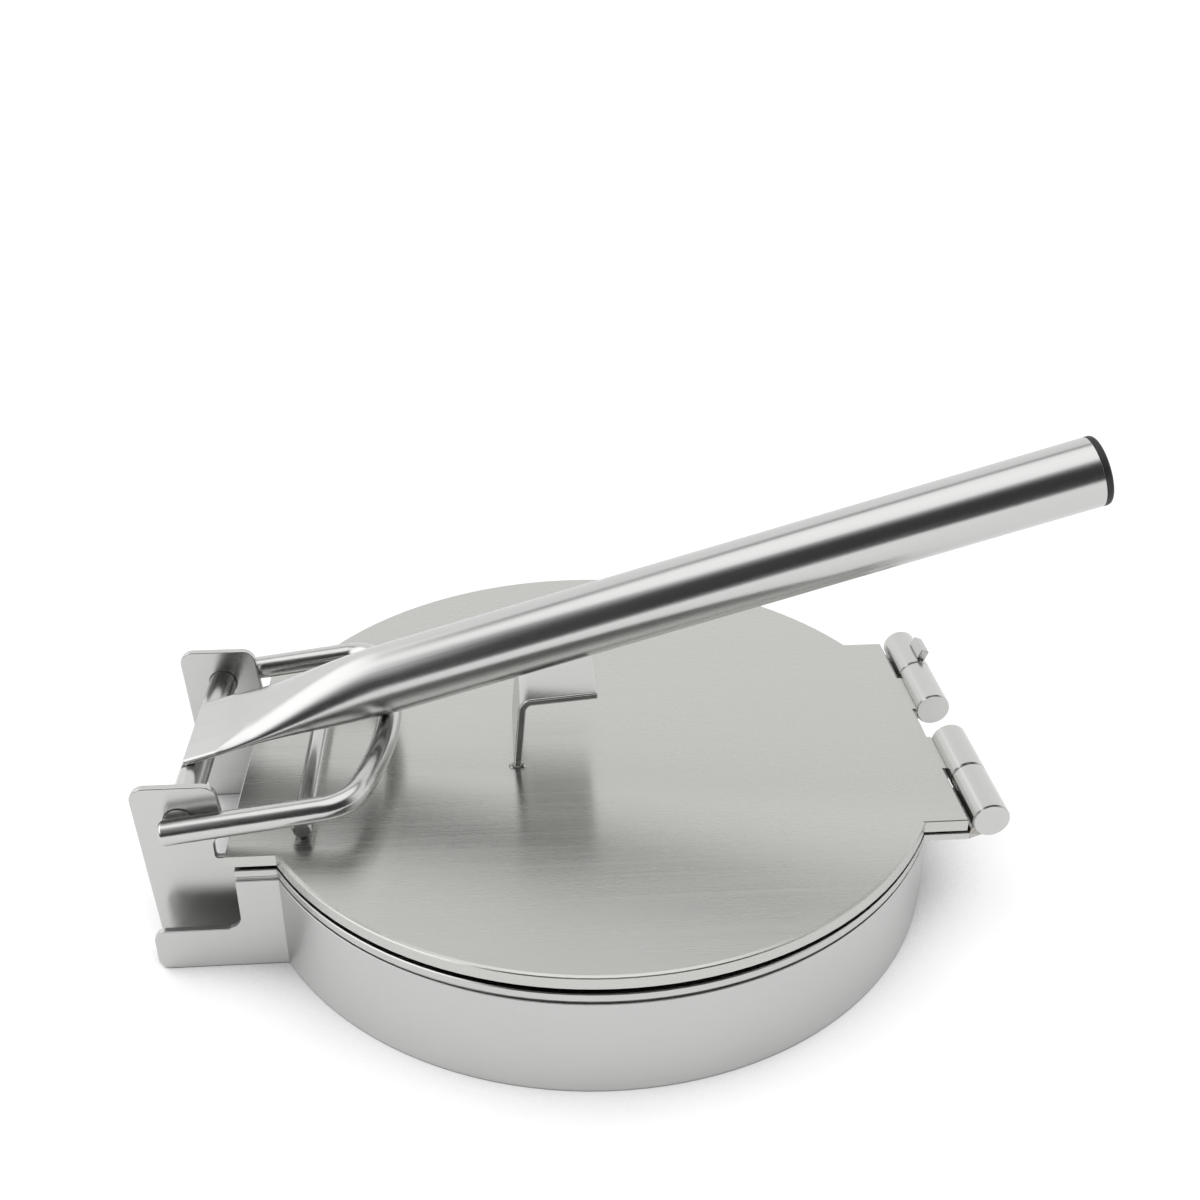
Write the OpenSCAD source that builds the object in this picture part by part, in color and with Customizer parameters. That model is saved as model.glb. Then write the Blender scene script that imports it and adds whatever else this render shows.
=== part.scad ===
// Lever press for flattening dough between two round steel plates.
// Origin: on the table, half way along the closed press. X runs from the lever end to the hinge end.

/* [Plates] */
// Width of the round pressing plates
plate_d = 254; // [220:1:300]
// Width of the square tongue that the plates have on the lever side
lever_tongue_w = 126; // [116:1:140]
// Width of the square tongue that the plates have on the hinge side
hinge_tongue_w = 120.6; // [112:0.2:134]
// Thickness of the lower plate
lower_t = 3; // [2:0.1:4]
// Thickness of the upper plate, which is the lid
upper_t = 4.8; // [3.5:0.1:6]
// Space between the closed plates
plate_gap = 1.9; // [1.6:0.1:4]
// Broken edge round both plates
edge_break = 0.3; // [0.2:0.1:0.8]
// How far the lower plate stops short of the lid on the lever side
lower_setback = 2.3; // [1:0.1:5]
// How much narrower the lower plate's tongue is than the lid's, on each side of the lever end
lower_inset_lever = 0.7; // [0.2:0.1:2]
// How much narrower the lower plate's tongue is than the lid's, on each side of the hinge end
lower_inset_hinge = 1.4; // [0.2:0.1:2.5]
// Width of the shallow bevel round the lid's upper rim
rim_bevel_w = 0.9; // [0.5:0.1:2]
// Height of the shallow bevel round the lid's upper rim
rim_bevel_h = 0.25; // [0.1:0.05:0.8]

/* [Drum] */
// Height of the standing wall under the lower plate
drum_h = 37.1; // [30:0.1:50]
// Thickness of the wall's sheet
wall_t = 2.4; // [1.6:0.1:3.5]
// Height of the shadow seam between the wall and the lower plate
seam_h = 1.1; // [0.8:0.1:2.5]
// Depth of the shadow seam
seam_in = 1; // [0.5:0.1:1.2]
// Height of the low feet at the lever side
foot_h = 16.4; // [12:0.2:24]
// How far the low feet run out past the tall wall
foot_reach = 30; // [24:0.5:38]
// Rounding of the feet's outer corners
foot_corner_r = 4; // [2:0.5:6]
// Rounding inside the step between foot and tall wall
foot_step_r = 5; // [2:0.5:8]

/* [Ears] */
// Thickness of the two upright ears
ear_t = 2.6; // [2:0.1:4]
// Width of the lever-side tongue that is left beside each ear
ear_margin = 17.8; // [14:0.1:23]
// How far the ears and the whole lever stand off the middle, towards the front
lever_offset = 6; // [0:0.5:8]
// Height of the ears over the middle of the axle
ear_over_axle = 13.9; // [10:0.1:20]
// How far the ears run out past the axle at their top
ear_out_top = 15.6; // [12:0.1:20]
// How far the ears run out past the axle at the table
ear_out_foot = 12; // [9:0.1:16]
// Clearance between the ears' heads and the lid
ear_head_clear = 1; // [0.8:0.1:2]
// Depth of the notch that clears the tongues
ear_notch_in = 4.8; // [3:0.1:7]
// Rounding of the ears' upper corners
ear_corner_r = 5; // [3:0.5:7]
// Broken edge of the axle's bores in the ears
bore_break = 0.4; // [0.2:0.1:0.8]
// Length of the ears' hidden part under the lower plate
ear_under = 26; // [15:1:40]

/* [Axle and bail] */
// Diameter of the axle
axle_d = 10.4; // [8:0.1:14]
// Distance from the lid's edge to the middle of the axle
axle_out = 16; // [14:0.2:22]
// Height of the middle of the axle over the lid
axle_rise = 6.2; // [5:0.1:9]
// Diameter of the bent bail rod
bail_d = 8.8; // [7:0.1:11]
// Room between an ear and the bail's leg beside it
bail_side_gap = 0.6; // [0.4:0.1:2]
// How far the bail reaches from the axle, to the middle of its bow
bail_reach = 68.7; // [62:0.1:78]
// Radius of the bail's shallow bow
bail_bow_r = 120; // [90:1:160]
// Radius of the bail's two corners
bail_corner_r = 13; // [9:0.5:18]
// How far the bail's legs run out past the axle
bail_tail = 5.3; // [4:0.1:9]
// Rounding of the ends of the bail's legs
bail_end_r = 1.5; // [0.5:0.1:3]
// Diameter of the straight bar that presses the lid
bar_d = 7; // [5.5:0.1:9]
// Distance from the axle to the pressing bar
bar_reach = 41; // [36:0.5:48]
// How far each end of the pressing bar stops short of the bail's outer side
bar_short = 5; // [3:0.5:8]

/* [Handle] */
// Outer diameter of the handle tube
tube_d = 25; // [22:0.5:30]
// Wall of the handle tube
tube_wall = 1.2; // [0.8:0.1:2]
// Length of the handle from the axle to the open end of its tube
tube_len = 331.4; // [260:0.2:380]
// Thickness of the tube's pressed end
flat_t = 2.4; // [2:0.1:4]
// Width of the tube's pressed end
flat_w = 38; // [34:0.5:44]
// Length of the pressed end past the axle, on the handle side
flat_len = 12; // [9:0.5:18]
// Length of the pressed end on the other side of the axle
flat_tail = 0.7; // [0.5:0.1:4]
// Length over which the pressed end opens into the round tube
flare_len = 64; // [58:0.5:72]
// How far the pressed end's middle lies over the tube's middle
flat_rise = 0.55; // [0:0.05:1.5]
// How far the tube stands off the middle of the bail, towards the front
tube_offset = 1.4; // [0:0.1:3]
// Thickness of the end cap's visible rim
cap_t = 2.6; // [2.2:0.1:5]
// Rounding of the end cap's edge
cap_edge_r = 1.4; // [0.5:0.1:2]
// How far the end cap reaches into the tube
cap_plug = 14; // [8:1:25]

/* [Lift bracket] */
// Thickness of the bracket's sheet
bracket_t = 2.9; // [2:0.1:4]
// Width of the bracket
bracket_w = 39.2; // [30:0.2:50]
// Height of the bracket over the lid
bracket_h = 29.6; // [24:0.2:32]
// Length of the bracket's finger flange
bracket_flange = 29; // [22:0.5:36]
// Inner radius of the bracket's bend
bracket_bend_r = 2.5; // [1:0.1:5]
// Distance of the bracket's foot from the middle of the lid
bracket_place = 27.2; // [10:0.2:45]
// Slope of the finger flange in degrees
bracket_slope = 5; // [0:1:10]
// Lean of the bracket's upright towards the hinge, in degrees
bracket_lean = 5; // [0:0.5:8]
// Size of the weld tacks
tack_d = 3.6; // [2:0.1:5]

/* [Hinge] */
// Diameter of the hinge barrels
barrel_d = 13.2; // [10:0.1:16]
// Height of the hinge's middle over the lower plate
hinge_rise = 5.9; // [5:0.1:9]
// Free space between the two barrels of the lid
barrel_space = 19.8; // [10:0.2:36]
// Gap between the two barrels of a pair
barrel_gap = 0.4; // [0.3:0.1:1]
// Width of the slot between the plates' edge and the base barrels
slot_w = 1.6; // [1.2:0.1:4]
// How far the back slot runs on past its base barrel
slot_past_back = 2.8; // [0:0.1:6]
// How far the front slot runs on past its base barrel
slot_past_front = 5.6; // [0:0.1:8]
// Broken edge of the barrels' ends
barrel_break = 0.5; // [0.3:0.1:1]
// Diameter of the hinge pins
pin_d = 6; // [4:0.1:8]
// Closed end left in each barrel
barrel_end_t = 4; // [2:0.5:8]
// Height of the weld beads at the free ends of the lid's straps
bead_d = 3.6; // [2.5:0.1:4.4]
// Length of the weld beads at the free ends of the lid's straps
bead_len = 2.4; // [1.5:0.1:4]
// Width of the stop bar on the back barrel
stop_w = 3.5; // [2.5:0.1:5]
// How far the stop bar stands off the back barrel
stop_t = 4; // [2:0.1:5]
// Length of the stop bar
stop_len = 11; // [8:0.5:13]
// Distance of the stop bar from the inner end of the back barrel
stop_place = 2.7; // [1:0.1:4]
// Direction of the stop bar from the barrel's middle, in degrees over the table
stop_dir = 68; // [50:1:72]

/* [Hidden] */
$fn = 96;

// Running and seating clearances, in mm
bore_clear = 0.05;
seat_gap = 0.05;
rest_gap = 0.3;
// Overrun of every cut, in mm
over = 2;
// Lap and thinning of the bail's bends and of the tube's flare where they run into straight stretches, in mm
bend_lap = 0.2;
bend_thin = 0.03;
// Lean of the ears' heads away from the lid, from underside to top, in mm
head_lean = 2;
// Roundings of the ears' notch at its foot, under the head and at the head's corner, as shares of its depth
notch_foot_share = 0.17;
notch_head_share = 0.75;
notch_corner_share = 0.2;
// Play at the ends of the hinge pins, in mm
pin_end_play = 0.5;

// Levels from the table up
seam_z = drum_h;
lower_z = seam_z + seam_h;
lower_top = lower_z + lower_t;
upper_z = lower_top + plate_gap;
upper_top = upper_z + upper_t;

// Ends of the plates
plate_r = plate_d / 2;
lever_end = -plate_r;
lower_end = lever_end + lower_setback;
barrel_r = barrel_d / 2;
slot_x = plate_r;
hinge_x = slot_x + slot_w + barrel_r;
hinge_z = lower_top + hinge_rise;
lower_hinge_end = hinge_x - barrel_r;
barrel_out_y = hinge_tongue_w / 2;
barrel_len = (barrel_out_y - barrel_gap - barrel_space / 2) / 2;
barrel_in_y = barrel_out_y - 2 * barrel_len - barrel_gap;
joint_y = barrel_out_y - barrel_len;
strap_back_y = joint_y - slot_past_back;
strap_front_y = joint_y - slot_past_front;

// Lever geometry, seen from the front, from the middle of the axle
ear_span = lever_tongue_w - 2 * ear_margin;
lever_y = -lever_offset;
axle_x = lever_end - axle_out;
axle_z = upper_top + axle_rise;
axle_r = axle_d / 2;
bail_r = bail_d / 2;
bar_r = bar_d / 2;
tube_r = tube_d / 2;
bar_drop = rest_gap + bar_r - axle_rise;
bail_angle = atan2(bar_drop, bar_reach)
    + asin((bail_r + bar_r + seat_gap) / sqrt(bar_reach * bar_reach + bar_drop * bar_drop));
// The tube lies on the bail's bow near the end of its flare, where it isn't yet fully round.
tube_over_axle = axle_r + seat_gap + flat_t / 2 - flat_rise;
ring_points = 40;
quick_share = 0.4;
function ease(s) = s * s * (3 - 2 * s);
function open_share(s) = quick_share * (1 - (1 - s) * (1 - s)) + (1 - quick_share) * ease(s);
function flare_share(u) = max(0, min(1, (u - flat_len) / flare_len));
function under_at(u) = let (f = open_share(flare_share(u)))
    (flat_t / 2 + (tube_r - flat_t / 2) * f) * cos(180 / ring_points) - flat_rise * (1 - f);
bow_drop = under_at(bail_reach) + bail_r + seat_gap - tube_over_axle;
bow_u = sqrt(bail_reach * bail_reach - bow_drop * bow_drop);
bow_left = 1 - flare_share(bow_u);
bow_slope = atan((tube_r - flat_t / 2) / flare_len
    * (2 * quick_share * bow_left + 6 * (1 - quick_share) * bow_left * (1 - bow_left)));
tube_angle = bail_angle
    + asin((under_at(bow_u) + bail_r / cos(bow_slope) + seat_gap - tube_over_axle) / bail_reach);
leg_y = ear_span / 2 + bail_side_gap + bail_r;
axle_half = leg_y - bail_r - seat_gap;

// Corner of the bail, in the bail's own plane
bow_x = bail_reach - bail_bow_r;
corner_y = leg_y - bail_corner_r;
corner_turn = asin(corner_y / (bail_bow_r - bail_corner_r));
corner_x = bow_x + (bail_bow_r - bail_corner_r) * cos(corner_turn);

// The whole press is placed with the middle of its length at X zero.
ear_lean = atan2(ear_out_top - ear_out_foot, axle_z + ear_over_axle);
near_x = axle_x - ear_out_top + ear_corner_r * (tan(45 + ear_lean / 2) - 1);
far_x = axle_x + (tube_len + cap_t - cap_edge_r) * cos(tube_angle)
    + (tube_r - cap_edge_r - tube_over_axle) * sin(tube_angle) + cap_edge_r;
module placed() {
    translate([-(near_x + far_x) / 2, 0, 0]) children();
}

// Polygon whose corners are rounded by true arcs, each point being [x, y, radius].
module rounded(pts) {
    n = len(pts);
    prev = [for (i = [0 : n - 1]) unit(pts[(i + n - 1) % n] - pts[i])];
    next = [for (i = [0 : n - 1]) unit(pts[(i + 1) % n] - pts[i])];
    turn = [for (i = [0 : n - 1]) next[i][0] * prev[i][1] - next[i][1] * prev[i][0]];
    half = [for (i = [0 : n - 1]) acos(max(-1, min(1, prev[i] * next[i]))) / 2];
    mid = [for (i = [0 : n - 1])
        [pts[i][0], pts[i][1]] + unit(prev[i] + next[i]) * pts[i][2] / sin(half[i])];
    from = [for (i = [0 : n - 1]) [pts[i][0], pts[i][1]] + prev[i] * pts[i][2] / tan(half[i])];
    to = [for (i = [0 : n - 1]) [pts[i][0], pts[i][1]] + next[i] * pts[i][2] / tan(half[i])];
    difference() {
        union() {
            polygon([for (i = [0 : n - 1]) each (pts[i][2] > 0 ? [from[i], to[i]] : [from[i]])]);
            for (i = [0 : n - 1]) if (turn[i] > 0 && pts[i][2] > 0) intersection() {
                translate(mid[i]) circle(pts[i][2]);
                polygon([mid[i], from[i], [pts[i][0], pts[i][1]], to[i]]);
            }
        }
        for (i = [0 : n - 1]) if (turn[i] < 0 && pts[i][2] > 0) translate(mid[i]) circle(pts[i][2]);
    }
}
function unit(v) = [v[0], v[1]] / sqrt(v[0] * v[0] + v[1] * v[1]);

// Prism whose outline is drawn in X and Z and which is w wide, centred on the given y.
module side_prism(y, w) {
    translate([0, y + w / 2, 0]) rotate([90, 0, 0]) linear_extrude(w) children();
}

// Block with its upper and lower outer edges broken, from x0 to x1 and w wide.
module broken_block(x0, x1, w, z0, t) {
    intersection() {
        side_prism(0, w) polygon([[x0, z0 + edge_break], [x0 + edge_break, z0], [x1 - edge_break, z0],
            [x1, z0 + edge_break], [x1, z0 + t - edge_break], [x1 - edge_break, z0 + t],
            [x0 + edge_break, z0 + t], [x0, z0 + t - edge_break]]);
        translate([x0 - over, 0, 0]) rotate([90, 0, 90]) linear_extrude(x1 - x0 + 2 * over)
            polygon([[-w / 2, z0 + edge_break], [edge_break - w / 2, z0], [w / 2 - edge_break, z0],
                [w / 2, z0 + edge_break], [w / 2, z0 + t - edge_break], [w / 2 - edge_break, z0 + t],
                [edge_break - w / 2, z0 + t], [-w / 2, z0 + t - edge_break]]);
    }
}

// Round plate with both square tongues, its upper rim given as points from the side to the top.
module plate(x0, x1, w0, w1, z0, t, rim) {
    translate([0, 0, z0]) rotate_extrude() polygon(concat(
        [[0, 0], [plate_r - edge_break, 0], [plate_r, edge_break]], rim, [[0, t]]));
    broken_block(x0, 0, w0, z0, t);
    broken_block(0, x1, w1, z0, t);
}

// Wall outline: round, with two straight cheeks on the lever side.
module wall_shape(inset) {
    foot_end = lower_end - foot_reach;
    difference() {
        union() {
            circle(plate_r - inset);
            translate([foot_end, inset - lever_tongue_w / 2]) square([-foot_end, lever_tongue_w - 2 * inset]);
        }
        circle(plate_r - wall_t);
        translate([foot_end - over, wall_t - lever_tongue_w / 2])
            square([over - foot_end, lever_tongue_w - 2 * wall_t]);
    }
}

module drum_wall() {
    color("silver") intersection() {
        union() {
            linear_extrude(seam_z) wall_shape(0);
            linear_extrude(lower_z) wall_shape(seam_in);
        }
        side_prism(0, plate_d + 2 * over) rounded([
            [lower_end - foot_reach, 0, foot_corner_r],
            [plate_r + over, 0, 0],
            [plate_r + over, lower_z, 0],
            [lower_end, lower_z, 0],
            [lower_end, foot_h, foot_step_r],
            [lower_end - foot_reach, foot_h, foot_corner_r]]);
    }
}

module lower_plate() {
    color("lightgray") plate(lower_end, lower_hinge_end, lever_tongue_w - 2 * lower_inset_lever,
        hinge_tongue_w - 2 * lower_inset_hinge, lower_z, lower_t,
        [[plate_r, lower_t - edge_break], [plate_r - edge_break, lower_t]]);
}

// Upright ear, its outer face at the given side.
module ear(y) {
    head_x = lever_end - ear_head_clear;
    notch_x = head_x - ear_notch_in;
    bore_r = axle_r + bore_clear;
    difference() {
        side_prism(y, ear_t) difference() {
            rounded([
                [axle_x - ear_out_foot, 0, 0],
                [head_x + ear_under, 0, 0],
                [head_x + ear_under, lower_z, 0],
                [notch_x, lower_z, notch_foot_share * ear_notch_in],
                [notch_x, upper_top - ear_head_clear, notch_head_share * ear_notch_in],
                [head_x, upper_top - ear_head_clear, notch_corner_share * ear_notch_in],
                [head_x - head_lean, axle_z + ear_over_axle, ear_corner_r],
                [axle_x - ear_out_top, axle_z + ear_over_axle, ear_corner_r]]);
            translate([axle_x, axle_z]) circle(bore_r);
        }
        for (s = [-1, 1]) translate([axle_x, y + s * ear_t / 2, axle_z]) rotate([s * 90, 0, 0])
            translate([0, 0, -over]) cylinder(r1 = bore_r + bore_break + over, r2 = bore_r, h = bore_break + over);
    }
}
module ear_front() {
    color("gainsboro") ear(lever_y - ear_span / 2 + ear_t / 2);
}
module ear_back() {
    color("gainsboro") ear(lever_y + ear_span / 2 - ear_t / 2);
}

// Hinge barrel between two places along the hinge line, with a blind bore from one end.
module barrel(y0, y1, bore_y) {
    difference() {
        translate([hinge_x, y0, hinge_z]) rotate([-90, 0, 0]) rotate_extrude() polygon([
            [0, 0], [barrel_r - barrel_break, 0], [barrel_r, barrel_break],
            [barrel_r, y1 - y0 - barrel_break], [barrel_r - barrel_break, y1 - y0], [0, y1 - y0]]);
        translate([hinge_x, bore_y, hinge_z]) rotate([-90, 0, 0])
            cylinder(d = pin_d + 2 * bore_clear, h = 2 * (barrel_len - barrel_end_t), center = true);
    }
}
module base_barrel_front() {
    color("silver") barrel(-barrel_out_y, -joint_y, -joint_y);
}
module base_barrel_back() {
    color("silver") barrel(joint_y, barrel_out_y, joint_y);
}
module lid_barrel_front() {
    color("silver") barrel(-joint_y + barrel_gap, -barrel_in_y, -joint_y + barrel_gap);
}
module lid_barrel_back() {
    color("silver") barrel(barrel_in_y, joint_y - barrel_gap, joint_y - barrel_gap);
}
module hinge_pin(y) {
    reach = barrel_len - barrel_end_t - pin_end_play;
    translate([hinge_x, y, hinge_z]) rotate([-90, 0, 0])
        cylinder(d = pin_d, h = 2 * reach + barrel_gap, center = true);
}
module hinge_pin_front() {
    color("gray") hinge_pin(barrel_gap / 2 - joint_y);
}
module hinge_pin_back() {
    color("gray") hinge_pin(joint_y - barrel_gap / 2);
}

// Flat bar on top of the back barrel, which the opened lid comes to rest on.
module hinge_stop() {
    color("gray") difference() {
        translate([hinge_x, joint_y + stop_place, hinge_z]) rotate([0, -stop_dir, 0])
            translate([barrel_r - stop_w / 2, 0, -stop_w / 2]) cube([stop_t + stop_w / 2, stop_len, stop_w]);
        translate([hinge_x, 0, hinge_z]) rotate([-90, 0, 0])
            cylinder(r = barrel_r + seat_gap, h = hinge_tongue_w, center = true);
    }
}

// Beads that carry the base barrels on the end of the lower plate.
module base_hinge_welds() {
    bead = barrel_len - lower_inset_hinge;
    color("silver") for (s = [-1, 1])
        difference() {
            side_prism(s * (joint_y + bead / 2), bead) polygon([
                [lower_hinge_end, lower_z + edge_break],
                [lower_hinge_end + lower_t, lower_z + lower_t / 2],
                [hinge_x, lower_top],
                [hinge_x - barrel_r / 2, lower_top + lower_t],
                [lower_hinge_end + edge_break, lower_top + lower_t / 2],
                [lower_hinge_end, lower_top - edge_break]]);
            translate([hinge_x, 0, hinge_z]) rotate([-90, 0, 0])
                cylinder(r = barrel_r + seat_gap, h = hinge_tongue_w + over, center = true);
        }
}

// Straps that carry the lid's barrels.
module straps() {
    translate([0, -strap_front_y, upper_z]) cube([hinge_x, strap_front_y - barrel_in_y, upper_t]);
    translate([0, barrel_in_y, upper_z]) cube([hinge_x, strap_back_y - barrel_in_y, upper_t]);
}

module upper_plate() {
    color("lightgray") difference() {
        union() {
            plate(lever_end, slot_x, lever_tongue_w, hinge_tongue_w, upper_z, upper_t, [
                [plate_r, upper_t - rim_bevel_h - edge_break],
                [plate_r - edge_break, upper_t - rim_bevel_h],
                [plate_r - edge_break - rim_bevel_w, upper_t]]);
            straps();
        }
        translate([hinge_x, 0, hinge_z]) rotate([-90, 0, 0])
            cylinder(r = barrel_r + seat_gap, h = hinge_tongue_w, center = true);
    }
}

// Small beads at the free ends of the lid's straps.
module lid_hinge_welds() {
    color("silver") for (s = [-1, 1])
        difference() {
            translate([slot_x + slot_w / 2, s * barrel_in_y, upper_z + upper_t / 2])
                rotate([90, 0, 0]) cylinder(d = bead_d, h = bead_len, center = true);
            straps();
            translate([slot_x - bead_d, -barrel_out_y, upper_z]) cube([bead_d, hinge_tongue_w, upper_t]);
            translate([hinge_x, 0, hinge_z]) rotate([-90, 0, 0])
                cylinder(r = barrel_r + seat_gap, h = hinge_tongue_w, center = true);
        }
}

// Bent sheet bracket on the lid, for lifting it with a finger.
module lift_bracket() {
    outer_r = bracket_bend_r + bracket_t;
    turn = bracket_slope + bracket_lean;
    bend_z = (bracket_h - outer_r + bracket_bend_r * sin(bracket_lean)) / cos(bracket_lean);
    along = [cos(turn), sin(turn)];
    up = [-sin(turn), cos(turn)];
    tip = [bracket_bend_r, bend_z] + along * (bracket_flange - outer_r);
    corner = tan(45 - turn / 2);
    color("silver") difference() {
        translate([-bracket_place, 0, upper_top]) rotate([0, bracket_lean, 0]) side_prism(0, bracket_w) rounded([
            [-bracket_t, -bracket_t, 0],
            [0, -bracket_t, 0],
            [0, bend_z + bracket_bend_r * corner, bracket_bend_r],
            concat(tip + up * bracket_bend_r, 0),
            concat(tip + up * outer_r, 0),
            [-bracket_t, bend_z + outer_r * corner, outer_r]]);
        translate([-bracket_place - 2 * bracket_t, -bracket_w, upper_top - 2 * bracket_t])
            cube([4 * bracket_t, 2 * bracket_w, 2 * bracket_t]);
    }
}

// Weld tacks at the two front corners of the bracket's foot.
module bracket_welds() {
    from_x = -bracket_place - bracket_t / cos(bracket_lean);
    to_x = tack_d / 3 * tan(bracket_lean) - bracket_place;
    color("silver") for (x = [from_x, to_x])
        difference() {
            translate([x, (tack_d - bracket_w) / 2, upper_top]) rotate_extrude() polygon([
                [0, 0], [tack_d / 2, 0], [tack_d / 3, tack_d / 4], [0, tack_d / 3]]);
            translate([from_x, -bracket_w, upper_top]) cube([to_x - from_x, 2 * bracket_w, bracket_h]);
        }
}

// Places its children at the middle of the axle, tilted up by the given angle.
module at_axle(angle) {
    translate([axle_x, lever_y, axle_z]) rotate([0, -angle, 0]) children();
}

// Places its children on the middle line of the tube, at the axle.
module at_tube() {
    at_axle(tube_angle) translate([0, -tube_offset, tube_over_axle]) children();
}

module pivot_axle() {
    color("silver") at_axle(0) rotate([90, 0, 0]) cylinder(r = axle_r, h = 2 * axle_half, center = true);
}

// Straight legs, two corners and a shallow bow, in one bent rod, which thins a little in its corners.
module bail_rod() {
    lap_turn = bend_lap / bail_bow_r * 180 / PI;
    color("silver") at_axle(bail_angle) {
        for (s = [-1, 1]) {
            translate([-bail_tail, s * leg_y, 0]) rotate([0, 90, 0]) rotate_extrude() union() {
                polygon([[0, 0], [bail_r - bail_end_r, 0], [bail_r, bail_end_r],
                    [bail_r, corner_x + bail_tail + bend_lap], [0, corner_x + bail_tail + bend_lap]]);
                intersection() {
                    translate([bail_r - bail_end_r, bail_end_r]) circle(bail_end_r);
                    square([bail_r, bail_end_r]);
                }
            }
            translate([corner_x, s * corner_y, 0])
                rotate([0, 0, s > 0 ? corner_turn : -90]) rotate_extrude(angle = 90 - corner_turn)
                    translate([bail_corner_r, 0]) circle(bail_r - bend_thin);
        }
        translate([bow_x, 0, 0]) rotate([0, 0, -corner_turn - lap_turn])
            rotate_extrude(angle = 2 * (corner_turn + lap_turn)) translate([bail_bow_r, 0]) circle(bail_r);
    }
}

module press_bar() {
    bar_half = leg_y + bail_r - bar_short;
    color("silver") translate([axle_x + bar_reach, lever_y, axle_z + bar_drop]) rotate([90, 0, 0])
        translate([0, 0, -bar_half]) rotate_extrude() polygon([
            [0, 0], [bar_r - 2 * edge_break, 0], [bar_r, 2 * edge_break],
            [bar_r, 2 * bar_half - 2 * edge_break], [bar_r - 2 * edge_break, 2 * bar_half], [0, 2 * bar_half]]);
}

// Section of the pressed tube at a share of its flare, as points round the tube's middle: two half rounds
// joined by flats, which open quickly at first and reach the round tube gently.
flare_rings = 16;
hollow_share = 0.2;
flare_x = flat_len + flare_len;
function flare_ring(x, s, cut) = let (f = open_share(s),
        half = flat_t / 2 + (tube_r - flat_t / 2) * f - cut,
        side = (flat_w - flat_t) / 2 * (1 - f))
    [for (i = [0 : ring_points - 1]) let (a = 360 * (i + 1 / 2) / ring_points)
        [x, (cos(a) < 0 ? -side : side) + half * cos(a), flat_rise * (1 - f) + half * sin(a)]];
function flare_faces(n) = concat(
    [[for (i = [0 : ring_points - 1]) i]],
    [for (k = [0 : n - 2], i = [0 : ring_points - 1]) let (j = (i + 1) % ring_points)
        [k * ring_points + i, (k + 1) * ring_points + i, (k + 1) * ring_points + j, k * ring_points + j]],
    [[for (i = [0 : ring_points - 1]) n * ring_points - 1 - i]]);

// Steel tube with its lever end pressed flat onto the axle.
module handle_tube() {
    color("silver") at_tube() {
        difference() {
            polyhedron(concat(
                flare_ring(-flat_tail, 0, 0),
                [for (k = [0 : flare_rings]) each
                    flare_ring(flat_len + flare_len * k / flare_rings, k / flare_rings, bend_thin * k / flare_rings)],
                flare_ring(flare_x + bend_lap, 1, bend_thin)),
                flare_faces(flare_rings + 3), convexity = 4);
            polyhedron(concat(
                [for (k = [0 : flare_rings]) let (s = hollow_share + (1 - hollow_share) * k / flare_rings) each
                    flare_ring(flat_len + flare_len * s, s, tube_wall - bend_thin)],
                flare_ring(flare_x + over, 1, tube_wall - bend_thin)),
                flare_faces(flare_rings + 2), convexity = 4);
        }
        translate([flare_x, 0, 0]) rotate([0, 90, 0]) rotate_extrude() polygon([
            [tube_r - tube_wall, 0], [tube_r, 0], [tube_r, tube_len - flare_x],
            [tube_r - tube_wall, tube_len - flare_x]]);
    }
}

// Black cap pushed into the open end of the tube.
module end_cap() {
    plug_r = tube_r - tube_wall - bore_clear;
    color("dimgray") at_tube() translate([tube_len, 0, 0]) rotate([0, 90, 0])
        rotate_extrude() union() {
            polygon([[0, 0], [plug_r - tube_wall, 0], [plug_r - tube_wall, -cap_plug], [plug_r, -cap_plug],
                [plug_r, 0], [tube_r, 0], [tube_r, cap_t - cap_edge_r], [tube_r - cap_edge_r, cap_t], [0, cap_t]]);
            intersection() {
                translate([tube_r - cap_edge_r, cap_t - cap_edge_r]) circle(cap_edge_r);
                square([tube_r, cap_t]);
            }
        }
}

// Beads under the pressed end, on both sides of the axle.
module axle_welds() {
    bead = axle_r / 2;
    color("silver") at_axle(tube_angle) for (s = [-1, 1])
        difference() {
            translate([0, (flat_w - flat_t) / 2 - tube_offset, axle_r + seat_gap]) rotate([90, 0, 0])
                linear_extrude(flat_w - flat_t) polygon(s > 0
                    ? [[bead / 4, -seat_gap], [bead, -seat_gap], [bead, -axle_r / 2]]
                    : [[-flat_tail - seat_gap, flat_t / 2], [-flat_tail - seat_gap, -axle_r / 4],
                        [-flat_tail - bead, -axle_r / 4]]);
            rotate([90, 0, 0]) cylinder(r = axle_r + seat_gap, h = 2 * flat_w, center = true);
        }
}

// Beads that join the bail to the tube over it and to the pressing bar under it.
module bail_welds() {
    bead = bail_r / 3;
    color("silver") for (s = [-1, 1])
        translate([axle_x + bar_reach, lever_y + s * (leg_y - bail_r), axle_z + bar_drop + bar_r])
            difference() {
                sphere(r = bead);
                translate([0, 0, -bar_r]) rotate([90, 0, 0]) cylinder(r = bar_r + seat_gap, h = 4 * bail_r, center = true);
                translate([0, s * bail_r, bail_r + seat_gap]) rotate([0, 90 - bail_angle, 0])
                    cylinder(r = bail_r + seat_gap, h = 4 * bail_r, center = true);
            }
}

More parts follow.
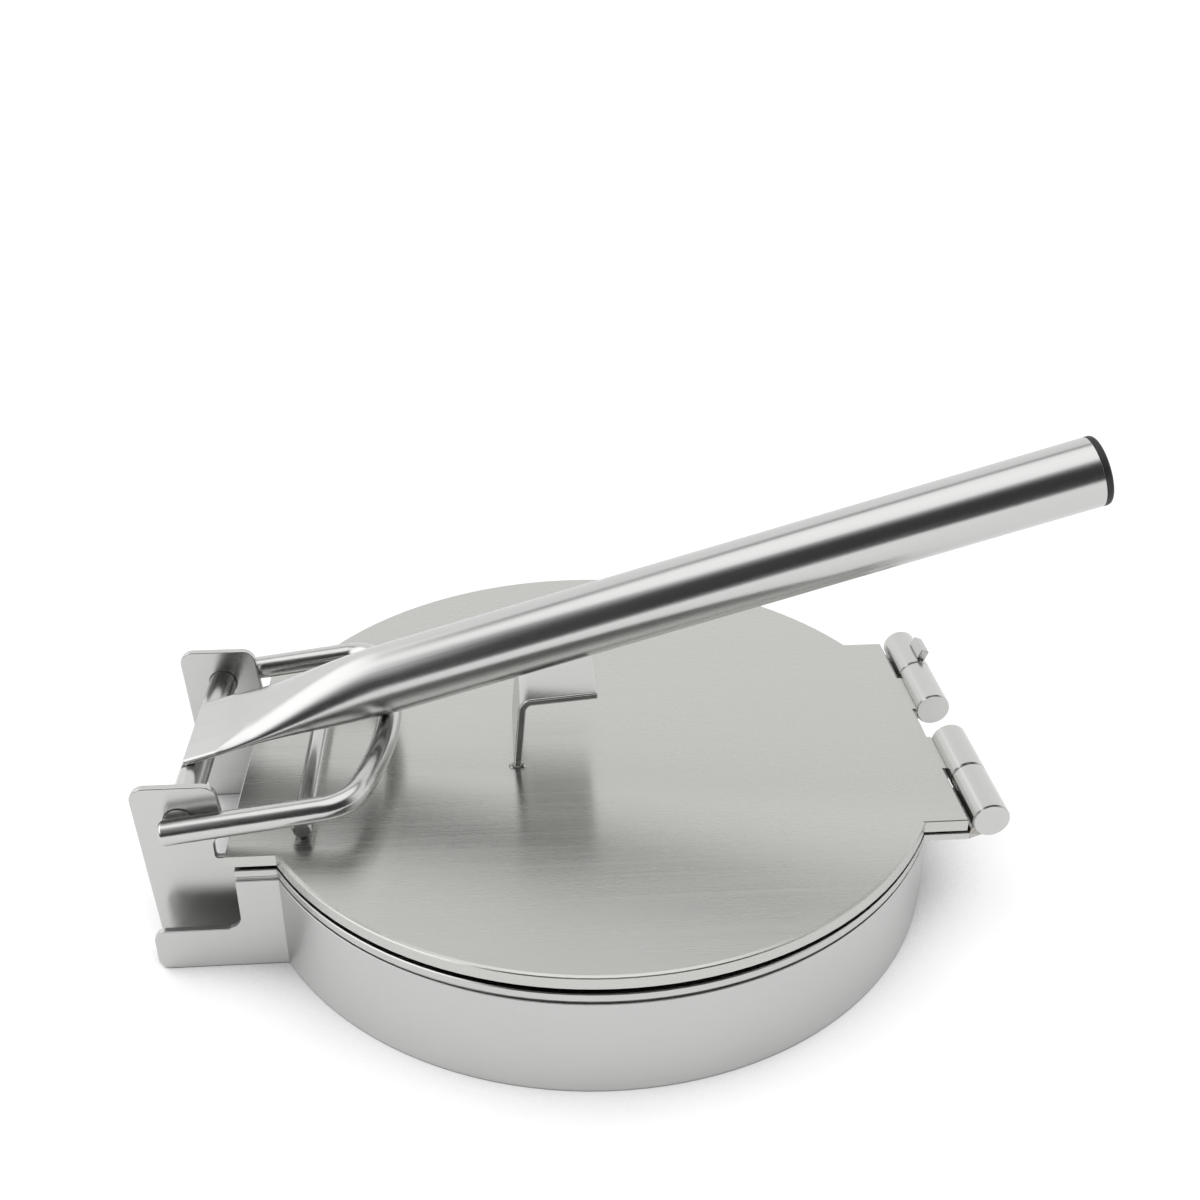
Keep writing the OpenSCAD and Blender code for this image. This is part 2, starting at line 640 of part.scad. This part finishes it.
placed() drum_wall();
placed() lower_plate();
placed() ear_front();
placed() ear_back();
placed() base_barrel_front();
placed() base_barrel_back();
placed() hinge_pin_front();
placed() hinge_pin_back();
placed() hinge_stop();
placed() base_hinge_welds();
placed() upper_plate();
placed() lid_barrel_front();
placed() lid_barrel_back();
placed() lid_hinge_welds();
placed() lift_bracket();
placed() bracket_welds();
placed() pivot_axle();
placed() bail_rod();
placed() press_bar();
placed() handle_tube();
placed() end_cap();
placed() axle_welds();
placed() bail_welds();
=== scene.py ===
import bpy
import bmesh
import math
from mathutils import Matrix, Vector


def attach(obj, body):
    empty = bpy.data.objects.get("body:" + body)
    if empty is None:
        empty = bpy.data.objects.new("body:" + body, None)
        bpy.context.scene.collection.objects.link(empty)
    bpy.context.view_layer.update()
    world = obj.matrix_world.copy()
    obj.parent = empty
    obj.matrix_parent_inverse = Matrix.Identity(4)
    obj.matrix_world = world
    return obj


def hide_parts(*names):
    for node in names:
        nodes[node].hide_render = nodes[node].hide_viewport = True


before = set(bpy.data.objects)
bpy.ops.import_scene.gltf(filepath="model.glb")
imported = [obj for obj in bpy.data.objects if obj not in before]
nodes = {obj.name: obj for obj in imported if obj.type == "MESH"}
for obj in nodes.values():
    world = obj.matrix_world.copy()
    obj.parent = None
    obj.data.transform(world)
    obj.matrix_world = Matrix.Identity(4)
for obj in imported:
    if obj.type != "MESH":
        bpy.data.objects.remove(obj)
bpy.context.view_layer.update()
scene = bpy.context.scene


# Solved against the photograph's frame of 1200 x 1200 pixels; angles are in radians.
FRAME_PX, FOCAL_PX, SHIFT_PX = 1200, 1345.9, (-2.8, 0.3)
CAMERA_PLACE = (-0.040624, -0.42232, 0.33857)
YAW, PITCH, ROLL = 0.08083, 0.50173, 0.00874


def make_camera():
    yaw, pitch, roll = YAW, PITCH, ROLL
    forward = Vector((math.sin(yaw) * math.cos(pitch), math.cos(yaw) * math.cos(pitch), -math.sin(pitch)))
    right = Vector((math.cos(yaw), -math.sin(yaw), 0))
    up = right.cross(forward)
    right_r = right * math.cos(roll) + up * math.sin(roll)
    up_r = up * math.cos(roll) - right * math.sin(roll)
    data = bpy.data.cameras.new("camera")
    data.sensor_width = 36
    data.lens = data.sensor_width * FOCAL_PX / FRAME_PX
    data.shift_x, data.shift_y = (p / FRAME_PX for p in SHIFT_PX)
    data.clip_start, data.clip_end = 0.01, 50
    cam = bpy.data.objects.new("camera", data)
    scene.collection.objects.link(cam)
    turn = Matrix((right_r, up_r, -forward)).transposed()
    cam.matrix_world = Matrix.Translation(CAMERA_PLACE) @ turn.to_4x4()
    scene.camera = cam


class Net:
    """A material's or world's node tree, with short calls for adding nodes and linking them."""

    def __init__(self, tree):
        self.tree = tree
        tree.nodes.clear()

    def add(self, kind, **settings):
        n = self.tree.nodes.new(kind)
        for k, v in settings.items():
            setattr(n, k, v)
        return n

    def link(self, a, b):
        self.tree.links.new(a, b)

    def feed(self, socket, value):
        if isinstance(value, bpy.types.NodeSocket):
            self.link(value, socket)
        else:
            socket.default_value = value

    def math(self, op, a, b=0.0, c=0.0, clamp=False):
        n = self.add("ShaderNodeMath", operation=op, use_clamp=clamp)
        for s, v in zip(n.inputs, (a, b, c)):
            self.feed(s, v)
        return n.outputs[0]

    def ramp(self, value, lo, hi, out_lo=0.0, out_hi=1.0, smooth=True):
        n = self.add("ShaderNodeMapRange", interpolation_type="SMOOTHSTEP" if smooth else "LINEAR")
        for s, v in zip(n.inputs, (value, lo, hi, out_lo, out_hi)):
            self.feed(s, v)
        return n.outputs[0]

    def stretched(self, coords, scale, turn=(0, 0, 0)):
        n = self.add("ShaderNodeMapping")
        self.link(coords, n.inputs["Vector"])
        n.inputs["Rotation"].default_value = turn
        n.inputs["Scale"].default_value = scale
        return n.outputs[0]

    def noise(self, coords, scale=1.0, detail=2.0, rough=0.5):
        n = self.add("ShaderNodeTexNoise", noise_dimensions="3D")
        self.link(coords, n.inputs["Vector"])
        n.inputs["Scale"].default_value = scale
        n.inputs["Detail"].default_value = detail
        n.inputs["Roughness"].default_value = rough
        return n.outputs["Fac"]

    def grey(self, value):
        n = self.add("ShaderNodeCombineColor")
        for s in n.inputs[:3]:
            self.link(value, s)
        return n.outputs[0]

    def mix_colour(self, fac, a, b, blend="MIX"):
        n = self.add("ShaderNodeMix", data_type="RGBA", blend_type=blend)
        self.feed(n.inputs[0], fac)
        self.feed(n.inputs[6], a)
        self.feed(n.inputs[7], b)
        return n.outputs[2]

    def bump(self, height, strength, distance):
        n = self.add("ShaderNodeBump")
        n.inputs["Strength"].default_value = strength
        n.inputs["Distance"].default_value = distance
        self.link(height, n.inputs["Height"])
        return n.outputs["Normal"]


def new_material(name):
    m = bpy.data.materials.new(name)
    m.use_nodes = True
    net = Net(m.node_tree)
    out = net.add("ShaderNodeOutputMaterial")
    bsdf = net.add("ShaderNodeBsdfPrincipled")
    net.link(bsdf.outputs[0], out.inputs["Surface"])
    return m, net, bsdf


def steel(name, dark, light, rough, grain, along, across="", spread=0.0, tilt=(0, 0, 0), bump=0.3, cloud=0.03,
          reach=0.0):
    """Stainless steel with a worked grain.

    dark and light are the two colours that the grain runs between, rough is (low, high) roughness, grain is how
    often per metre the colour changes (along, across) the grain, and along is the axis that the grain follows.
    Reflections are drawn out along the axis across by spread. Crevices narrower than reach are darkened in the base
    colour by ambient occlusion: painted shade.
    """
    m, net, bsdf = new_material(name)
    bsdf.inputs["Metallic"].default_value = 1.0
    coords = net.add("ShaderNodeTexCoord").outputs["Object"]
    if tilt != (0, 0, 0):
        coords = net.stretched(coords, (1, 1, 1), tilt)
    slow, fast = grain
    fine_scale = [fast, fast, fast]
    fine_scale["XYZ".index(along)] = slow
    wide_scale = [s * 0.22 for s in fine_scale]
    fine = net.noise(net.stretched(coords, fine_scale), 1.0, 3.0, 0.62)
    wide = net.noise(net.stretched(coords, wide_scale), 1.0, 2.0, 0.5)
    patch = net.noise(coords, 14.0, 3.0, 0.55)
    streak = net.math("MULTIPLY_ADD", fine, 0.62, net.math("MULTIPLY", wide, 0.38))
    streak = net.ramp(streak, 0.3, 0.7, smooth=False)
    shade = net.mix_colour(streak, (*dark, 1), (*light, 1))
    clouded = net.math("MULTIPLY_ADD", patch, 2 * cloud, 1 - cloud)
    shade = net.mix_colour(1.0, shade, net.grey(clouded), "MULTIPLY")
    # Painted shade: ambient occlusion darkens the base colour in crevices narrower than reach.
    if reach:
        crevice = net.add("ShaderNodeAmbientOcclusion", samples=6)
        crevice.inputs["Distance"].default_value = reach
        painted_crevice_shade = net.ramp(crevice.outputs["AO"], 0.1, 0.6, 0.2, 1.0)
        shade = net.mix_colour(1.0, shade, net.grey(painted_crevice_shade), "MULTIPLY")
    net.link(shade, bsdf.inputs["Base Color"])
    lo, hi = rough
    r = net.math("MULTIPLY_ADD", streak, hi - lo, lo)
    r = net.math("MULTIPLY_ADD", patch, 0.05, net.math("SUBTRACT", r, 0.025))
    net.link(r, bsdf.inputs["Roughness"])
    if spread:
        bsdf.inputs["Anisotropic"].default_value = spread
        axis = net.add("ShaderNodeCombineXYZ")
        axis.inputs["XYZ".index(across)].default_value = 1.0
        to_world = net.add("ShaderNodeVectorTransform", vector_type="VECTOR", convert_from="OBJECT", convert_to="WORLD")
        net.link(axis.outputs[0], to_world.inputs[0])
        net.link(to_world.outputs[0], bsdf.inputs["Tangent"])
    net.link(net.bump(streak, bump, 0.00004), bsdf.inputs["Normal"])
    return m


def weld_steel(name):
    """Brushed-back weld bead: a little rougher and duller, with small ripples and a straw tint in places."""
    m, net, bsdf = new_material(name)
    bsdf.inputs["Metallic"].default_value = 1.0
    coords = net.add("ShaderNodeTexCoord").outputs["Object"]
    ripple = net.noise(coords, 900.0, 2.0, 0.5)
    tint = net.noise(coords, 260.0, 2.0, 0.5)
    shade = net.mix_colour(net.ramp(tint, 0.4, 0.65), (0.50, 0.50, 0.49, 1), (0.40, 0.37, 0.33, 1))
    net.link(shade, bsdf.inputs["Base Color"])
    net.link(net.math("MULTIPLY_ADD", ripple, 0.2, 0.22), bsdf.inputs["Roughness"])
    net.link(net.bump(ripple, 0.6, 0.0003), bsdf.inputs["Normal"])
    return m


def moulded_cap(name):
    """Black matt plastic of the end cap, finely textured, with dust-like paler specks and rubbed roughness."""
    m, net, bsdf = new_material(name)
    coords = net.add("ShaderNodeTexCoord").outputs["Object"]
    grain = net.noise(coords, 2200.0, 2.0, 0.6)
    patch = net.noise(coords, 160.0, 3.0, 0.5)
    shade = net.mix_colour(net.ramp(patch, 0.35, 0.7), (0.010, 0.010, 0.011, 1), (0.020, 0.020, 0.021, 1))
    net.link(shade, bsdf.inputs["Base Color"])
    net.link(net.math("MULTIPLY_ADD", patch, 0.22, 0.42), bsdf.inputs["Roughness"])
    bsdf.inputs["IOR"].default_value = 1.48
    net.link(net.bump(grain, 0.35, 0.00008), bsdf.inputs["Normal"])
    return m


# The tube's middle line starts at the axle and rises towards the hinge end.
TUBE_TILT = math.radians(16.7188)
TUBE_PLACE = Matrix.Translation((-0.153054, -0.006, 0.0541)) @ Matrix.Rotation(-TUBE_TILT, 4, "Y") \
    @ Matrix.Translation((0, -0.0014, 0.0059))
TUBE_R, TUBE_WALL, TUBE_LEN = 0.0125, 0.0012, 0.3314
FLAT_T, FLAT_W, FLAT_LEN, FLAT_TAIL, FLAT_RISE = 0.0024, 0.038, 0.012, 0.0007, 0.00055
FLARE_LEN = 0.064
QUICK_SHARE = 0.4
SOFT_SHARE, SOFT_RUN = 0.5, 0.012
TUBE_EASE = 0.00035
RING_POINTS = 96


def open_share(s):
    """How far the pressed section has opened at share s of the flare: quickly at first, gently at the end."""
    s = max(0.0, min(1.0, s))
    return QUICK_SHARE * (1 - (1 - s) ** 2) + (1 - QUICK_SHARE) * s * s * (3 - 2 * s)


def tube_ring(u, cut, count):
    """Section at distance u from the axle: rounded sides joined by flats, drawn in by cut.

    In the flare the sides curve gently into the flats.
    """
    f = open_share((u - FLAT_LEN) / FLARE_LEN)
    half = FLAT_T / 2 + (TUBE_R - FLAT_T / 2) * f - cut
    side = (FLAT_W - FLAT_T) / 2 * (1 - f)
    soft = SOFT_SHARE * min(1.0, max(0.0, u - FLAT_LEN) / SOFT_RUN)
    ring = []
    for i in range(count):
        a = math.tau * (i + 0.5) / count
        ring.append((u, math.copysign(side * (1 - soft), math.cos(a)) + (half + side * soft) * math.cos(a),
                     FLAT_RISE * (1 - f) + half * math.sin(a)))
    return ring


# Faces that meet at more than about 60 degrees are shaded apart.
SHARP_COS = 0.5
CRISP_ANGLE = math.radians(50)
FLAT_ANGLE = math.radians(0.3)


def finish_mesh(name, bm):
    """Mesh object whose shading follows its larger faces, so that flats stay flat and eased edges catch the light."""
    mesh = bpy.data.meshes.new(name)
    bm.normal_update()
    normals = []
    for f in bm.faces:
        f.smooth = True
        for v in f.verts:
            total = Vector()
            for g in v.link_faces:
                if g.normal.dot(f.normal) > SHARP_COS:
                    total += g.normal * g.calc_area()
            normals.append(total.normalized() if total.length > 0 else f.normal.copy())
    bm.to_mesh(mesh)
    bm.free()
    mesh.normals_split_custom_set(normals)
    ob = bpy.data.objects.new(name, mesh)
    scene.collection.objects.link(ob)
    return ob


def skin(name, rings, matrix):
    """Closed mesh through rings of equal count."""
    bm = bmesh.new()
    rows = [[bm.verts.new(matrix @ Vector(p)) for p in ring] for ring in rings]
    n = len(rings[0])
    for a, b in zip(rows, rows[1:]):
        for i in range(n):
            bm.faces.new((a[i], b[i], b[(i + 1) % n], a[(i + 1) % n]))
    bm.faces.new(rows[0])
    bm.faces.new(rows[-1][::-1])
    bmesh.ops.recalc_face_normals(bm, faces=bm.faces)
    return finish_mesh(name, bm)


def eased(node, body, material, width):
    """A node's own shape with its sharp edges eased by width, standing for the node."""
    bm = bmesh.new()
    bm.from_mesh(nodes[node].data)
    bmesh.ops.remove_doubles(bm, verts=bm.verts, dist=1e-6)
    bmesh.ops.dissolve_limit(bm, angle_limit=FLAT_ANGLE, verts=bm.verts, edges=bm.edges)
    crisp = [e for e in bm.edges if len(e.link_faces) == 2 and e.calc_face_angle(0) > CRISP_ANGLE]
    bmesh.ops.bevel(bm, geom=crisp, offset=width, offset_type="OFFSET", segments=3, profile=0.5, affect="EDGES",
                    clamp_overlap=True)
    ob = finish_mesh(node + "_eased", bm)
    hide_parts(node)
    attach(ob, body)
    ob.data.materials.append(material)
    return ob


def make_tube():
    ease = TUBE_EASE
    outer = [(-FLAT_TAIL, ease), (-FLAT_TAIL + ease * 0.3, ease * 0.3), (-FLAT_TAIL + ease, 0.0),
             (FLAT_LEN - 0.0015, 0.0)]
    outer += [(FLAT_LEN + FLARE_LEN * k / 48, 0.0) for k in range(49)]
    outer += [(u / 1000, 0.0) for u in (90, 130, 180, 230, 280, 320)]
    outer += [(TUBE_LEN - ease, 0.0), (TUBE_LEN - ease * 0.3, ease * 0.3), (TUBE_LEN, ease)]
    inner = [(TUBE_LEN, TUBE_WALL), (0.3, TUBE_WALL), (0.2, TUBE_WALL)]
    inner += [(FLAT_LEN + FLARE_LEN * k / 12, TUBE_WALL) for k in range(12, 2, -1)]
    tube = skin("handle_tube_skin", [tube_ring(u, cut, RING_POINTS) for u, cut in outer + inner], TUBE_PLACE)
    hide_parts("handle_tube")
    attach(tube, "lever")
    tube.data.materials.append(tube_steel)


plate_top = steel("brushed_plate", (0.565, 0.57, 0.545), (0.595, 0.60, 0.575), (0.24, 0.30), (7, 700), "X", "Y", 0.75,
                  bump=0.03, cloud=0.02)
# reach darkens this plate's crevices in the base colour: painted shade.
plate_low = steel("brushed_plate_low", (0.55, 0.55, 0.535), (0.60, 0.60, 0.585), (0.2, 0.3), (9, 900), "X", "Y", 0.5,
                  bump=0.1, reach=0.006)
# reach darkens the wall's crevices in the base colour: painted shade.
wall_sheet = steel("brushed_wall", (0.575, 0.575, 0.57), (0.595, 0.595, 0.59), (0.28, 0.34), (10, 900), "X", "Z", 0.3,
                   bump=0.08, reach=0.003)
ear_sheet = steel("brushed_ear", (0.575, 0.575, 0.565), (0.60, 0.60, 0.59), (0.22, 0.28), (10, 900), "X", "Z", 0.5,
                  bump=0.08)
bracket_sheet = steel("brushed_bracket", (0.57, 0.575, 0.555), (0.60, 0.605, 0.585), (0.2, 0.28), (9, 1000), "X",
                      bump=0.15)
tube_steel = steel("satin_tube", (0.57, 0.57, 0.565), (0.61, 0.61, 0.605), (0.2, 0.26), (10, 1100), "X",
                   tilt=(0, TUBE_TILT, 0), bump=0.2, cloud=0.02)
rod_steel = steel("drawn_rod", (0.56, 0.56, 0.55), (0.62, 0.62, 0.61), (0.17, 0.25), (20, 700), "X", bump=0.2)
cross_rod_steel = steel("drawn_cross_rod", (0.56, 0.56, 0.55), (0.62, 0.62, 0.61), (0.18, 0.26), (20, 700), "Y",
                        bump=0.2)
# reach darkens the barrels' crevices in the base colour: painted shade.
barrel_steel = steel("turned_barrel", (0.575, 0.58, 0.56), (0.605, 0.61, 0.59), (0.2, 0.28), (25, 700), "Y",
                     bump=0.06, reach=0.006)
pin_steel = steel("ground_pin", (0.5, 0.5, 0.49), (0.58, 0.58, 0.57), (0.2, 0.3), (30, 900), "Y", bump=0.2)
bead = weld_steel("weld_bead")
cap_black = moulded_cap("black_cap")

DRESS = {
    "upper_plate": plate_top,
    "lower_plate": plate_low,
    "drum_wall": wall_sheet,
    "ear_front": ear_sheet,
    "ear_back": ear_sheet,
    "lift_bracket": bracket_sheet,
    "handle_tube": tube_steel,
    "bail_rod": rod_steel,
    "press_bar": cross_rod_steel,
    "pivot_axle": cross_rod_steel,
    "base_barrel_front": barrel_steel,
    "base_barrel_back": barrel_steel,
    "lid_barrel_front": barrel_steel,
    "lid_barrel_back": barrel_steel,
    "hinge_pin_front": pin_steel,
    "hinge_pin_back": pin_steel,
    "hinge_stop": pin_steel,
    "base_hinge_welds": bead,
    "lid_hinge_welds": bead,
    "bracket_welds": bead,
    "axle_welds": bead,
    "bail_welds": bead,
    "end_cap": cap_black,
}
make_tube()
for node_name, body, slot, width in (
        ("lift_bracket", "lid", "brushed_sheet", 0.0008),
        ("ear_front", "base", "brushed_sheet", 0.0005),
        ("ear_back", "base", "brushed_sheet", 0.0005),
        ("drum_wall", "base", "brushed_sheet", 0.0003),
        ("hinge_stop", "base", "bright_rod", 0.0004)):
    eased(node_name, body, DRESS[node_name], width)
for node_name, material in DRESS.items():
    ob = nodes[node_name]
    ob.data.materials.clear()
    ob.data.materials.append(material)


def make_floor():
    """White table top. Seen straight, or in the metal, it shows as plain white with the press's soft shadow."""
    m = bpy.data.materials.new("pale_floor")
    m.use_nodes = True
    net = Net(m.node_tree)
    out = net.add("ShaderNodeOutputMaterial")
    coords = net.add("ShaderNodeTexCoord").outputs["Object"]
    paper = net.noise(coords, 30.0, 2.0, 0.5)
    path = net.add("ShaderNodeLightPath")
    seen = net.math("ADD", path.outputs["Is Camera Ray"], net.math("MULTIPLY", path.outputs["Is Glossy Ray"], 0.5))
    seen = net.math("ADD", seen, path.outputs["Is Transmission Ray"], clamp=True)
    # The added white fades where the press closes the floor in, so that its shadow stays.
    free = net.add("ShaderNodeAmbientOcclusion", samples=6)
    free.inputs["Distance"].default_value = 0.25
    free = net.ramp(free.outputs["AO"], 0.3, 0.62)
    albedo = net.math("MULTIPLY_ADD", seen, -0.55, net.math("MULTIPLY_ADD", paper, 0.03, 0.88))
    matt = net.add("ShaderNodeBsdfDiffuse")
    net.link(net.grey(albedo), matt.inputs["Color"])
    glow = net.add("ShaderNodeEmission")
    glow.inputs["Color"].default_value = (1, 1, 1, 1)
    net.link(net.math("MULTIPLY", net.math("MULTIPLY", seen, 0.74), free), glow.inputs["Strength"])
    both = net.add("ShaderNodeAddShader")
    net.link(matt.outputs[0], both.inputs[0])
    net.link(glow.outputs[0], both.inputs[1])
    net.link(both.outputs[0], out.inputs["Surface"])
    mesh = bpy.data.meshes.new("floor")
    mesh.from_pydata([(-6, -6, 0), (6, -6, 0), (6, 6, 0), (-6, 6, 0)], [], [(0, 1, 2, 3)])
    ob = bpy.data.objects.new("floor", mesh)
    ob.location.z = -0.0002
    scene.collection.objects.link(ob)
    mesh.materials.append(m)


def make_world():
    world = bpy.data.worlds.new("studio")
    scene.world = world
    world.use_nodes = True
    net = Net(world.node_tree)
    out = net.add("ShaderNodeOutputWorld")
    direction = net.add("ShaderNodeTexCoord").outputs["Generated"]
    parts = net.add("ShaderNodeSeparateXYZ")
    net.link(direction, parts.inputs[0])
    x, y, z = parts.outputs
    height = net.math("MULTIPLY", net.math("ARCSINE", net.math("MINIMUM", z, 0.9999)), 180 / math.pi)
    level_length = net.math("ADD", net.math("MULTIPLY", x, x), net.math("MULTIPLY", y, y))
    level_length = net.math("SQRT", net.math("ADD", level_length, 0.0001))
    front = net.math("DIVIDE", net.math("MULTIPLY", y, -1.0), level_length)
    # White walls behind and beside the table, a dark room behind the camera.
    dark_side = net.ramp(front, 0.25, 0.75)
    wall = net.math("MULTIPLY_ADD", dark_side, -0.955, 1.0)
    # A gap over the walls, then a wide soft box overhead.
    gap = net.ramp(height, 50.0, 54.0)
    level = net.math("ADD", wall, net.math("MULTIPLY", gap, net.math("SUBTRACT", 0.25, wall)))
    box = net.ramp(height, 58.0, 64.0)
    level = net.math("ADD", level, net.math("MULTIPLY", box, net.math("SUBTRACT", 1.4, level)))
    # A brighter box high on the left, which lights the pressed end of the tube.
    left = net.math("MULTIPLY", net.ramp(x, -0.42, -0.58), net.ramp(height, 18.0, 30.0))
    level = net.math("ADD", level, net.math("MULTIPLY", left, net.math("SUBTRACT", 1.75, level)))
    studio = net.add("ShaderNodeBackground")
    studio.inputs["Color"].default_value = (1, 1, 1, 1)
    net.link(level, studio.inputs["Strength"])
    # Seen straight, the backdrop is plain white.
    white = net.add("ShaderNodeBackground")
    white.inputs["Color"].default_value = (1, 1, 1, 1)
    white.inputs["Strength"].default_value = 1.0
    path = net.add("ShaderNodeLightPath")
    pick = net.add("ShaderNodeMixShader")
    net.link(path.outputs["Is Camera Ray"], pick.inputs[0])
    net.link(studio.outputs[0], pick.inputs[1])
    net.link(white.outputs[0], pick.inputs[2])
    net.link(pick.outputs[0], out.inputs["Surface"])


def area_lamp(name, place, target, size, power):
    data = bpy.data.lights.new(name, "AREA")
    data.shape = "RECTANGLE"
    data.size, data.size_y = size
    data.energy = power
    lamp = bpy.data.objects.new(name, data)
    lamp.location = place
    lamp.rotation_mode = "QUATERNION"
    lamp.rotation_quaternion = (Vector(target) - Vector(place)).to_track_quat("-Z", "Y")
    lamp.visible_glossy = False
    scene.collection.objects.link(lamp)


make_camera()
make_floor()
make_world()
area_lamp("top_lamp", (-0.5, -0.2, 1.8), (0, 0, 0), (1.4, 1.0), 3.5)
area_lamp("front_lamp", (-0.1, -1.8, 0.6), (0, 0, 0.08), (1.4, 1.0), 14.0)

scene.view_settings.view_transform = "Standard"
